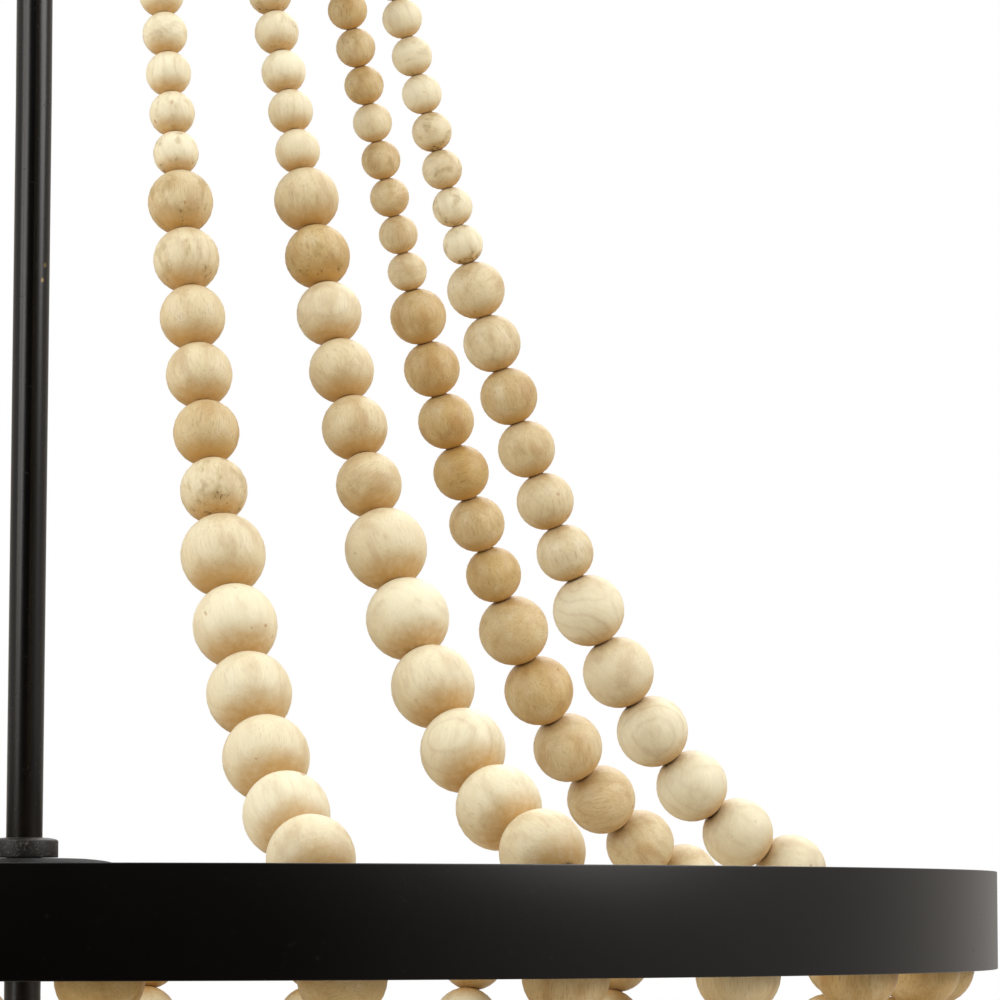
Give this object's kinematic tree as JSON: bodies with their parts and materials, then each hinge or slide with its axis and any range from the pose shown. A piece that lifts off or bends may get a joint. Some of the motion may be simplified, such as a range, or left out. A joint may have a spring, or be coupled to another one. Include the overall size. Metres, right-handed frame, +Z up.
{
  "type": "beaded chandelier",
  "caption": "Stem-hung chandelier: black metal ring and rod, graded wooden bead strings from crown to ring, and a basket of bead strings round the candle lamps.",
  "frame": {"origin": "centre of the ceiling bracket's top face, which lies on the ceiling", "axes": "+Z up, towards the ceiling; +X along the bracket; -Y the front"},
  "size_m": [0.635, 0.635, 0.8804],
  "materials": {
    "black_metal": "satin black, warm on the ring's side",
    "brass": "plain turned brass",
    "steel": "zinc plated",
    "wood": "bare matte wood, cream to tan from bead to bead",
    "socket": "off-white, half gloss",
    "sleeve": "matte black"
  },
  "bodies": {
    "ceiling": {"ceiling_bracket": "steel", "canopy_stud_left": "steel", "canopy_stud_right": "steel", "canopy": "black_metal", "canopy_nut_left": "brass", "canopy_nut_right": "brass"},
    "swivel": {"swivel_lock_nut": "brass", "swivel_fork": "black_metal", "swivel_pin": "brass"},
    "fixture": {"swivel_tongue": "black_metal", "upper_stem": "black_metal", "stem_coupling": "black_metal", "crown_cap": "black_metal", "crown_plate": "black_metal", "crown_nut": "brass", "center_rod": "black_metal", "hub_collar": "black_metal", "hub_disc": "black_metal", "spoke_frame": "black_metal", "strand_ring": "black_metal", "ring_band": "black_metal", "lower_rod": "black_metal", "lamp_body": "black_metal", "bottom_plate": "black_metal", "finial": "wood", "basket_strand_1": "wood", "basket_strand_2": "wood", "basket_strand_3": "wood", "basket_strand_4": "wood", "basket_strand_5": "wood", "basket_strand_6": "wood", "basket_strand_7": "wood", "basket_strand_8": "wood", "basket_strand_9": "wood", "basket_strand_10": "wood", "basket_strand_11": "wood", "basket_strand_12": "wood", "basket_strand_13": "wood", "basket_strand_14": "wood", "lamp_arm_1": "black_metal", "lamp_arm_2": "black_metal", "lamp_arm_3": "black_metal", "lamp_arm_4": "black_metal", "lamp_socket_1": "socket", "lamp_socket_2": "socket", "lamp_socket_3": "socket", "lamp_socket_4": "socket"},
    "sleeve_1": {"candle_sleeve_1": "sleeve"},
    "sleeve_2": {"candle_sleeve_2": "sleeve"},
    "sleeve_3": {"candle_sleeve_3": "sleeve"},
    "sleeve_4": {"candle_sleeve_4": "sleeve"},
    "strand_1": {"upper_strand_1": "wood"},
    "strand_2": {"upper_strand_2": "wood"},
    "strand_3": {"upper_strand_3": "wood"},
    "strand_4": {"upper_strand_4": "wood"},
    "strand_5": {"upper_strand_5": "wood"},
    "strand_6": {"upper_strand_6": "wood"},
    "strand_7": {"upper_strand_7": "wood"},
    "strand_8": {"upper_strand_8": "wood"}
  },
  "joints": [
    {"name": "swivel_turn", "type": "hinge", "parent": "ceiling", "child": "swivel", "pos_m": [0, 0, -0.024], "axis": [0, 0, 1], "range_deg": [-165, 165]},
    {"name": "swivel_tilt", "type": "hinge", "parent": "swivel", "child": "fixture", "pos_m": [0, 0, -0.0453], "axis": [1, 0, 0], "range_deg": [-45, 45]},
    {"name": "sleeve_lift_1", "type": "slide", "parent": "fixture", "child": "sleeve_1", "axis": [0, 0, 1], "range_m": [0, 0.06]},
    {"name": "sleeve_lift_2", "type": "slide", "parent": "fixture", "child": "sleeve_2", "axis": [0, 0, 1], "range_m": [0, 0.06]},
    {"name": "sleeve_lift_3", "type": "slide", "parent": "fixture", "child": "sleeve_3", "axis": [0, 0, 1], "range_m": [0, 0.06]},
    {"name": "sleeve_lift_4", "type": "slide", "parent": "fixture", "child": "sleeve_4", "axis": [0, 0, 1], "range_m": [0, 0.06]},
    {"name": "strand_swing_1", "type": "hinge", "parent": "fixture", "child": "strand_1", "pos_m": [0.114, -0.28074, -0.67112], "axis": [-0.1632, 0.402, 0.901], "range_deg": [-10, 10]},
    {"name": "strand_swing_2", "type": "hinge", "parent": "fixture", "child": "strand_2", "pos_m": [0.18613, -0.23909, -0.67112], "axis": [-0.2665, 0.3423, 0.901], "range_deg": [-10, 10]},
    {"name": "strand_swing_3", "type": "hinge", "parent": "fixture", "child": "strand_3", "pos_m": [0.28074, 0.114, -0.67112], "axis": [-0.402, -0.1632, 0.901], "range_deg": [-10, 10]},
    {"name": "strand_swing_4", "type": "hinge", "parent": "fixture", "child": "strand_4", "pos_m": [0.23909, 0.18613, -0.67112], "axis": [-0.3423, -0.2665, 0.901], "range_deg": [-10, 10]},
    {"name": "strand_swing_5", "type": "hinge", "parent": "fixture", "child": "strand_5", "pos_m": [-0.114, 0.28074, -0.67112], "axis": [0.1632, -0.402, 0.901], "range_deg": [-10, 10]},
    {"name": "strand_swing_6", "type": "hinge", "parent": "fixture", "child": "strand_6", "pos_m": [-0.18613, 0.23909, -0.67112], "axis": [0.2665, -0.3423, 0.901], "range_deg": [-10, 10]},
    {"name": "strand_swing_7", "type": "hinge", "parent": "fixture", "child": "strand_7", "pos_m": [-0.28074, -0.114, -0.67112], "axis": [0.402, 0.1632, 0.901], "range_deg": [-10, 10]},
    {"name": "strand_swing_8", "type": "hinge", "parent": "fixture", "child": "strand_8", "pos_m": [-0.23909, -0.18613, -0.67112], "axis": [0.3423, 0.2665, 0.901], "range_deg": [-10, 10]}
  ]
}
